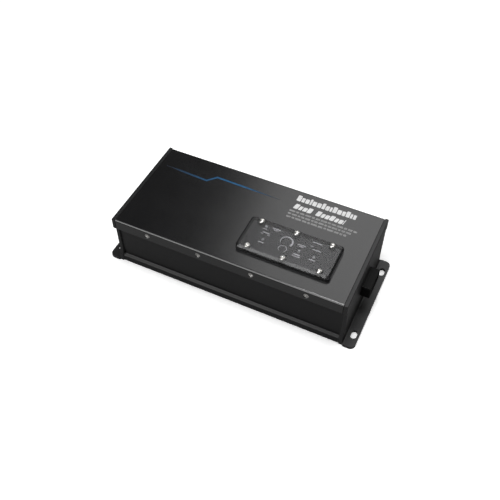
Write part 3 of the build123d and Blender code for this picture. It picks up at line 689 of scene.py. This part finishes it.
def ink(name, colour, fade=None, strength=1.0):
    """Screen-print ink with pinholes and an uneven film. With a fade, its colour comes up between the first
    two shares of its length and goes down between the last two."""
    made, t, shader, place = material(name, specular=0.45)
    coat = t.group(shared("grain"), Vector=place, Fine_scale=2400.0, Broad_scale=160.0)
    base = t.mix(coat.outputs["Drift"], shade(colour, 0.8 * strength), shade(colour, 1.08 * strength))
    base = t.mix(t.maths("MULTIPLY", coat.outputs["Specks"], 0.5), base, (0.012, 0.012, 0.013, 1.0))
    if fade:
        along = t.node("ShaderNodeUVMap", uv_map="Surface")
        split = t.node("ShaderNodeSeparateXYZ")
        t.feed(split.inputs[0], along.outputs["UV"])
        rise = t.span(split.outputs["X"], fade[0], fade[1], 0.12, 1.0)
        fall = t.span(split.outputs["X"], fade[2], fade[3], 1.0, 0.05)
        base = t.mix(t.maths("MULTIPLY", rise, fall), (0.009, 0.009, 0.010, 1.0), base)
    t.feed(shader.inputs["Base Color"], base)
    t.feed(shader.inputs["Roughness"], t.span(coat.outputs["Grain"], 0.3, 0.7, 0.36, 0.52))
    t.feed(shader.inputs["Normal"], t.bump(coat.outputs["Grain"], 0.1, 0.02 * MM))
    return made


def smoked(name, tint):
    """Smoke-tinted clear plastic with a faint haze in its gloss, which lets light through to what lies
    under it."""
    made, t, shader, place = material(name, ior=1.49)
    shader.inputs["Transmission Weight"].default_value = 1.0
    coat = t.group(shared("grain"), Vector=place, Fine_scale=1500.0, Broad_scale=45.0)
    t.feed(shader.inputs["Base Color"], t.mix(coat.outputs["Drift"], shade(tint, 0.94), shade(tint, 1.06)))
    t.feed(shader.inputs["Roughness"], t.span(coat.outputs["Drift"], 0.3, 0.7, 0.17, 0.21))
    clear = t.node("ShaderNodeBsdfTransparent")
    clear.inputs["Color"].default_value = shade(tint, 1.5)
    rays = t.node("ShaderNodeLightPath")
    choose = t.node("ShaderNodeMixShader")
    t.feed(choose.inputs["Fac"], rays.outputs["Is Shadow Ray"])
    t.feed(choose.inputs[1], shader.outputs["BSDF"])
    t.feed(choose.inputs[2], clear.outputs["BSDF"])
    t.feed(made.node_tree.nodes["Material Output"].inputs["Surface"], choose.outputs["Shader"])
    return made


def paint(names, made):
    """Gives CAD nodes one material in every slot."""
    for name in names:
        piece = nodes[name]
        if not piece.material_slots:
            piece.data.materials.append(made)
        for slot in piece.material_slots:
            slot.material = made


def settings():
    """The sizes of the print, the sizes of the screws and the colours."""
    scene = bpy.context.scene
    return scene.amplifier_print, scene.amplifier_screws, scene.amplifier_colours


# ---------------------------------------------------------------- layout helpers


def row_of_bars(start, stop, low, high, widths, gap, short=0.0):
    """Bars in a row from start to stop in millimetres, taking the widths in turn; returns (x0, x1, y0, y1)
    in metres. Two bars in three are lower by short."""
    shortest = 0.5
    found, x, turn = [], start, 0
    while x < stop - shortest:
        end = min(x + widths[turn % len(widths)], stop)
        top = high if turn % 3 == 0 else high - short
        found.append((x * MM, end * MM, low * MM, top * MM))
        x = end + gap
        turn += 1
    return found


def printed(name, points, faces, made):
    """A piece of print on the lid, with its points merged and its faces turned outwards."""
    piece = mesh_object(name, points, faces)
    tidy_mesh(piece)
    piece.data.materials.append(made)
    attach(piece, "amplifier")


def middle_of(node):
    """The middle of a CAD node's box, seen from above."""
    low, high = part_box(node)
    return (low.x + high.x) / 2, (low.y + high.y) / 2


def spun(turn, degrees):
    """A turn that follows a spin about its own axis."""
    return turn @ np.array(Matrix.Rotation(math.radians(degrees), 3, "Z"))


def place_screws(name, shape, places, made, node, body):
    """Makes one piece of several screws that stands for a CAD node and rides on a body."""
    piece = mesh_object(name, *many(*shape, places))
    tidy_mesh(piece)
    piece.data.materials.append(made)
    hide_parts(node)
    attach(piece, body)


def camera_place(azimuth, elevation, roll, distance, target):
    """Where a camera stands to look at a target from an azimuth and an elevation in degrees, rolled about
    its axis."""
    a, e = math.radians(azimuth), math.radians(elevation)
    back = Vector((math.sin(a) * math.cos(e), -math.cos(a) * math.cos(e), math.sin(e)))
    right = Vector((0, 0, 1)).cross(back).normalized()
    up = back.cross(right)
    turn = Matrix((right, up, back)).transposed().to_4x4()
    rolled = Matrix.Rotation(math.radians(-roll), 4, "Z")
    return Matrix.Translation(Vector(target) + distance * back) @ turn @ rolled


def softbox(name, place, target, size, power):
    """A rectangular area light at a place, facing a target."""
    lamp = bpy.data.lights.new(name, "AREA")
    lamp.shape = "RECTANGLE"
    lamp.size, lamp.size_y = size
    lamp.energy = power
    stand = bpy.data.objects.new(name, lamp)
    bpy.context.scene.collection.objects.link(stand)
    stand.location = place
    stand.rotation_euler = (Vector(place) - Vector(target)).to_track_quat("Z", "Y").to_euler()


def blend(t, share, first, second):
    """A mix of two shaders."""
    joint = t.node("ShaderNodeMixShader")
    t.feed(joint.inputs["Fac"], share)
    t.feed(joint.inputs[1], first)
    t.feed(joint.inputs[2], second)
    return joint.outputs["Shader"]


def set_room(scene, brightness):
    """A dim even room for light and a white one for the camera."""
    world = bpy.data.worlds.new("Room")
    world.use_nodes = True
    scene.world = world
    t = Tree(world.node_tree)
    dim = world.node_tree.nodes["Background"]
    dim.inputs["Color"].default_value = shade(grey(brightness), 1.0)
    white = t.node("ShaderNodeBackground")
    white.inputs["Color"].default_value = (1, 1, 1, 1)
    seen = t.node("ShaderNodeLightPath").outputs["Is Camera Ray"]
    surface = blend(t, seen, dim.outputs["Background"], white.outputs["Background"])
    t.feed(world.node_tree.nodes["World Output"].inputs["Surface"], surface)


def pale_floor(show, bounce, glow):
    """A pale floor that shows near white to the camera and gives only a soft bounce back to the part. Away
    from the part it fades to an even white for the camera and an even glow for the part's reflections."""
    made = bpy.data.materials.new("Pale floor")
    made.use_nodes = True
    t = Tree(made.node_tree)
    made.node_tree.nodes.remove(made.node_tree.nodes["Principled BSDF"])
    place = t.node("ShaderNodeTexCoord").outputs["Object"]
    reach = t.node("ShaderNodeVectorMath", operation="LENGTH")
    t.feed(reach.inputs[0], place)
    away = t.span(reach.outputs["Value"], *FLOOR_FADE, 0.0, 1.0)
    seen = t.node("ShaderNodeLightPath").outputs["Is Camera Ray"]

    def sweep(tone, far):
        near = t.node("ShaderNodeBsdfDiffuse")
        near.inputs["Color"].default_value = (tone, tone, tone, 1)
        even = t.node("ShaderNodeEmission")
        even.inputs["Color"].default_value = (far, far, far, 1)
        return blend(t, away, near.outputs["BSDF"], even.outputs["Emission"])

    surface = blend(t, seen, sweep(bounce, glow), sweep(show, 1.0))
    t.feed(made.node_tree.nodes["Material Output"].inputs["Surface"], surface)
    return made


# ---------------------------------------------------------------- operators


class AMPLIFIER_OT_studio(bpy.types.Operator):
    """Sets up the floor, the soft light and the camera"""

    bl_idname = "amplifier.studio"
    bl_label = "Set up the studio"

    def execute(self, context):
        scene = context.scene
        studio = scene.amplifier_studio
        scene.view_settings.view_transform = "Standard"
        set_room(scene, studio.room_grey)
        corners = np.array([(-1, -1, 0), (1, -1, 0), (1, 1, 0), (-1, 1, 0)], float) * FLOOR_HALF
        corners[:, 2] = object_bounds()[0][2] - FLOOR_DROP
        floor = mesh_object("floor", corners, np.array([[0, 1, 2, 3]]), smooth=False)
        floor.data.materials.append(pale_floor(studio.floor_show, studio.floor_bounce, studio.floor_glow))
        floor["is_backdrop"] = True
        softbox("Softbox behind", (0.17, 1.05, 1.19), (0, 0, 0.05), (1.3, 0.9), studio.back_power)
        softbox("Softbox in front", (-0.5, -1.2, 0.8), (0, 0, 0.03), (1.3, 0.8), studio.front_power)
        softbox("Softbox raised", (-0.38, -0.62, 1.3), (0, 0, 0.03), (0.9, 0.7), studio.raised_power)
        softbox("Softbox overhead", (0.12, 0.0, 1.6), (0, 0, 0.03), (0.6, 0.6), studio.overhead_power)
        camera = bpy.data.cameras.new("Camera")
        camera.lens = studio.lens
        camera.sensor_width = 36.0
        camera.clip_start, camera.clip_end = 0.01, 50.0
        stand = bpy.data.objects.new("Camera", camera)
        scene.collection.objects.link(stand)
        stand.matrix_world = camera_place(
            azimuth=25.13, elevation=50.15, roll=-0.21, distance=0.68905, target=(0, 0, 0.01656)
        )
        scene.camera = stand
        return {"FINISHED"}


class AMPLIFIER_OT_case_finish(bpy.types.Operator):
    """Gives the lid, the body, the end plates and the hidden pieces their finishes"""

    bl_idname = "amplifier.case_finish"
    bl_label = "Finish the case"

    def execute(self, context):
        _, _, colours = settings()
        case = tuple(colours.case_black)
        cast = tuple(colours.cast_black)
        # The lid's and the body's lighter edge colours are partly wear and partly a painted highlight; on the
        # body it brightens the ledge along the foot.
        paint(["top_cover"], coated("Black anodised aluminium", case, 0.22, grey(0.05), 0.3, ior=1.77))
        paint(["tray"], coated("Black anodised body", case, 0.34, grey(0.13), 0.45, specular=0.42))
        plate = coated(
            "Painted end plates", cast, 0.42, grey(0.12), 0.5, grain=0.25, fine=1500.0, specular=0.55
        )
        paint(["left_end_plate", "right_end_plate"], plate)
        rubber = coated("Seal rubber", grey(0.006), 0.7, grey(0.02), 0.2, grain=0.2)
        paint(["left_end_gasket", "right_end_gasket", "cover_gaskets"], rubber)
        paint(["control_cover_gasket", "connector_seal", "transformer_pads"], rubber)
        socket = coated("Socket plastic", grey(0.002), 0.55, grey(0.01), 0.2, grain=0.2, specular=0.15)
        paint(["connector_housing"], socket)
        paint(["control_cover"], smoked("Smoked clear plastic", tuple(colours.smoke)))
        paint(["level_knob", "crossover_knob"], coated("Knob plastic", grey(0.02), 0.4, grey(0.15), 0.4))
        lever = coated("Lever plastic", grey(0.5), 0.4, grey(0.7), 0.3)
        paint(["input_switch_lever", "filter_switch_lever", "turn_on_switch_lever"], lever)
        control = coated("Control plastic", (0.015, 0.015, 0.016), 0.5, grey(0.06), 0.3)
        paint(["level_control", "crossover_control", "input_switch"], control)
        paint(["filter_switch", "turn_on_switch", "ribbon_sockets"], control)
        board = coated("Circuit board", (0.008, 0.09, 0.03), 0.35, (0.25, 0.22, 0.08), 0.5, drift=0.3)
        paint(["main_board", "control_board"], board)
        paint(["filter_capacitors"], coated("Capacitor sleeve", (0.01, 0.012, 0.03), 0.35, grey(0.3), 0.3))
        paint(["signal_chips", "power_transistors"], coated("Chip epoxy", grey(0.012), 0.55, grey(0.05), 0.3))
        paint(["thermal_pads"], coated("Thermal silicone", (0.35, 0.35, 0.38), 0.7, grey(0.45), 0.2))
        paint(["ribbon_cable"], coated("Ribbon insulation", grey(0.28), 0.5, grey(0.4), 0.2))
        clear = coated("Light pipe plastic", (0.6, 0.62, 0.62), 0.15, grey(0.8), 0.2)
        paint(["light_pipe", "status_lamp"], clear)
        paint(["connector_pins"], metal("Contact brass", (0.75, 0.58, 0.28), 0.25))
        paint(["transformer_winding", "output_chokes"], metal("Enamelled copper", (0.62, 0.26, 0.10), 0.3))
        spacer = metal("Spacer aluminium", grey(0.7), 0.35)
        paint(["board_standoffs", "control_board_spacers", "transistor_clamps"], spacer)
        steel = metal("Zinc-plated steel", tuple(colours.steel), 0.32)
        paint(["board_screws", "control_board_screws", "clamp_screws", "connector_screws"], steel)
        paint(["transformer_bolt", "transformer_nut", "transformer_washer"], steel)
        paint(["cover_screws", "control_cover_screws"], steel)
        paint(["end_plate_screws"], coated("Blackened steel", (0.012, 0.012, 0.013), 0.35, grey(0.2), 0.5))
        return {"FINISHED"}


class AMPLIFIER_OT_pinstripe(bpy.types.Operator):
    """Prints the stepped blue line on the lid"""

    bl_idname = "amplifier.pinstripe"
    bl_label = "Print the pinstripe"

    def execute(self, context):
        sizes, _, colours = settings()
        corners = np.array(STRIPE_CORNERS)
        corners[2, 1] += sizes.stripe_step / MM
        corners *= MM
        steps_per_run = 60
        runs = [np.linspace(a, b, steps_per_run, endpoint=False) for a, b in zip(corners[:-1], corners[1:])]
        path = np.concatenate(runs + [corners[-1:]])
        share = np.linspace(0, 1, len(path))
        opening, closing, narrowest = 0.12, 0.18, 0.25
        tapered = np.clip(np.minimum(share / opening, (1 - share) / closing), narrowest, 1)
        points, faces, uv = ribbon(path, sizes.stripe_width * tapered, sizes.print_thickness)
        piece = mesh_object("pinstripe", points, faces, uv)
        piece.data.materials.append(ink("Blue ink", tuple(colours.stripe_blue), fade=(0.04, 0.5, 0.7, 1.0)))
        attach(piece, "amplifier")
        return {"FINISHED"}


class AMPLIFIER_OT_panel_print(bpy.types.Operator):
    """Prints the plain bars that stand where a title and small print would be"""

    bl_idname = "amplifier.panel_print"
    bl_label = "Print the title bars"

    def execute(self, context):
        sizes, _, colours = settings()
        thickness = sizes.print_thickness
        white = ink("White ink", tuple(colours.print_white))
        faint = ink("Thin white ink", tuple(colours.print_white), strength=0.34)
        printed("title_bars", *bars(row_of_bars(**TITLE_ROW), thickness), white)
        words = []
        for start, stop in SECOND_ROW_SPANS:
            words += row_of_bars(start, stop, **SECOND_ROW)
        printed("second_line_bars", *bars(words, thickness, lean=SECOND_ROW_LEAN), white)
        rows = []
        for base, stop, widths in SMALL_ROWS:
            rows += row_of_bars(SMALL_ROW_START, stop, base, base + SMALL_ROW_HEIGHT, widths, SMALL_ROW_GAP)
        printed("small_print_bars", *bars(rows, thickness), faint)
        return {"FINISHED"}


class AMPLIFIER_OT_control_legend(bpy.types.Operator):
    """Prints the level wedge, the ring and the plain marks beside the controls"""

    bl_idname = "amplifier.control_legend"
    bl_label = "Print the control marks"

    def execute(self, context):
        sizes, _, colours = settings()
        thickness = sizes.print_thickness
        wedge_widths = (DIAL_LINE, sizes.wedge_width)
        wedge = ring_band(middle_of("level_knob"), WEDGE_RADIUS, wedge_widths, *WEDGE_TURN, thickness)
        ring_widths = (DIAL_LINE, DIAL_LINE)
        ring = ring_band(middle_of("crossover_knob"), RING_RADIUS, ring_widths, *RING_TURN, thickness)
        x, y, wide, high = np.array(CONTROL_MARKS).T * MM
        marks = bars(np.stack([x - wide / 2, x + wide / 2, y - high / 2, y + high / 2], 1), thickness)
        legend = ink("Legend ink", tuple(colours.print_white), strength=1.4)
        printed("control_marks", *joined([wedge, ring, marks]), legend)
        return {"FINISHED"}


class AMPLIFIER_OT_screws(bpy.types.Operator):
    """Turns the visible screws with rounded heads and cross recesses"""

    bl_idname = "amplifier.screws"
    bl_label = "Turn the screws"

    def execute(self, context):
        _, sizes, colours = settings()
        steel = metal("Bright zinc plate", tuple(colours.steel), 0.26)
        inward = np.linspace(0, 1, sizes.head_steps)
        self.cover_plate_screws(sizes, steel, inward)
        self.lid_screws(sizes, steel, inward)
        return {"FINISHED"}

    def cover_plate_screws(self, sizes, steel, inward):
        """Pan heads: at share s of the way in from the rim, the radius is R (1 - s)^0.999 and the height is
        H (0.45 + 0.55 (1 - (1 - s)^3.6))."""
        low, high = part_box("control_cover_screws")
        seat = COVER_HIGH.z - PAN_HEAD_SEAT
        tip, head = low.z - seat, high.z - seat
        first_turn, next_turn = 25, 50
        rise = 0.45 + 0.55 * (1 - (1 - inward) ** 3.6)
        dome = [(PAN_HEAD_RADIUS * (1 - s) ** 0.999, head * up) for s, up in zip(inward, rise)]
        shaft = [(0, tip), (SHANK_RADIUS * 0.8, tip), (SHANK_RADIUS, tip + 0.3 * MM), (SHANK_RADIUS, 0)]
        under = [(PAN_HEAD_RADIUS * 0.96, 0), (PAN_HEAD_RADIUS, 0.12 * MM)]
        shape = screw_surface(
            shaft + under + dome, len(shaft + under), sizes.recess_depth, sizes.recess_arm,
            0.62 * PAN_HEAD_RADIUS, sizes.round_steps,
        )
        middle_x = (COVER_LOW.x + COVER_HIGH.x) / 2
        middle_y = (COVER_LOW.y + COVER_HIGH.y) / 2
        spots = [(middle_x + dx, middle_y + dy, seat) for dx in COVER_SCREW_X for dy in COVER_SCREW_Y]
        places = [(spun(np.eye(3), first_turn + next_turn * i), spot) for i, spot in enumerate(spots)]
        place_screws("cover_plate_screws", shape, places, steel, "control_cover_screws", "control_cover")

    def lid_screws(self, sizes, steel, inward):
        """Flat heads just under the lid's sides: at share s of the way in from the rim, the radius is
        R (1 - s), and the face comes up from 0.35 mm deep to level, as -0.35 mm (1 - s)^2."""
        low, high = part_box("cover_screws")
        face = [(SUNK_HEAD_RADIUS * (1 - s), -0.35 * MM * (1 - s) ** 2) for s in inward]
        shaft = [(0, -LID_SCREW_LENGTH), (SHANK_RADIUS, -LID_SCREW_LENGTH), (SHANK_RADIUS, -1.9 * MM)]
        under = [(SUNK_HEAD_RADIUS * 0.98, -0.55 * MM)]
        shape = screw_surface(
            shaft + under + face, len(shaft + under), 0.75 * sizes.recess_depth, sizes.recess_arm,
            0.6 * SUNK_HEAD_RADIUS, sizes.round_steps,
        )
        middle_z = (low.z + high.z) / 2
        first_turn, next_turn = 15, 37
        places = []
        for side, edge_y in ((-1, low.y), (1, high.y)):
            for i, x in enumerate(LID_SCREW_X):
                turn = spun(turn_to((0, side, 0)), first_turn + next_turn * i)
                places.append((turn, (x, edge_y, middle_z)))
        place_screws("lid_screws", shape, places, steel, "cover_screws", "amplifier")


class AMPLIFIER_PT_panel(bpy.types.Panel):
    """Lists the steps that build the amplifier's looks"""

    bl_idname = "AMPLIFIER_PT_panel"
    bl_label = "Amplifier"
    bl_space_type = "VIEW_3D"
    bl_region_type = "UI"
    bl_category = "Amplifier"

    def draw(self, context):
        for operator in OPERATORS:
            self.layout.operator(operator.bl_idname)
        for group_name, group in GROUP_HOLDERS.items():
            box = self.layout.box()
            for field in group.__annotations__:
                box.prop(getattr(context.scene, group_name), field)


# The operators in the order they run, and the scene's name for each group of settings.
OPERATORS = (
    AMPLIFIER_OT_studio,
    AMPLIFIER_OT_case_finish,
    AMPLIFIER_OT_pinstripe,
    AMPLIFIER_OT_panel_print,
    AMPLIFIER_OT_control_legend,
    AMPLIFIER_OT_screws,
)
GROUP_HOLDERS = {
    "amplifier_print": AmplifierPrintSizes,
    "amplifier_screws": AmplifierScrewSizes,
    "amplifier_colours": AmplifierColours,
    "amplifier_studio": AmplifierStudio,
}


def register():
    for group_name, group in GROUP_HOLDERS.items():
        bpy.utils.register_class(group)
        setattr(bpy.types.Scene, group_name, PointerProperty(type=group))
    for operator in OPERATORS:
        bpy.utils.register_class(operator)
    bpy.utils.register_class(AMPLIFIER_PT_panel)


def unregister():
    bpy.utils.unregister_class(AMPLIFIER_PT_panel)
    for operator in reversed(OPERATORS):
        bpy.utils.unregister_class(operator)
    for group_name, group in GROUP_HOLDERS.items():
        delattr(bpy.types.Scene, group_name)
        bpy.utils.unregister_class(group)


def main():
    """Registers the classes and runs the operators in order."""
    register()
    for operator in OPERATORS:
        group, name = operator.bl_idname.split(".")
        getattr(getattr(bpy.ops, group), name)()


if __name__ == "__main__":
    main()
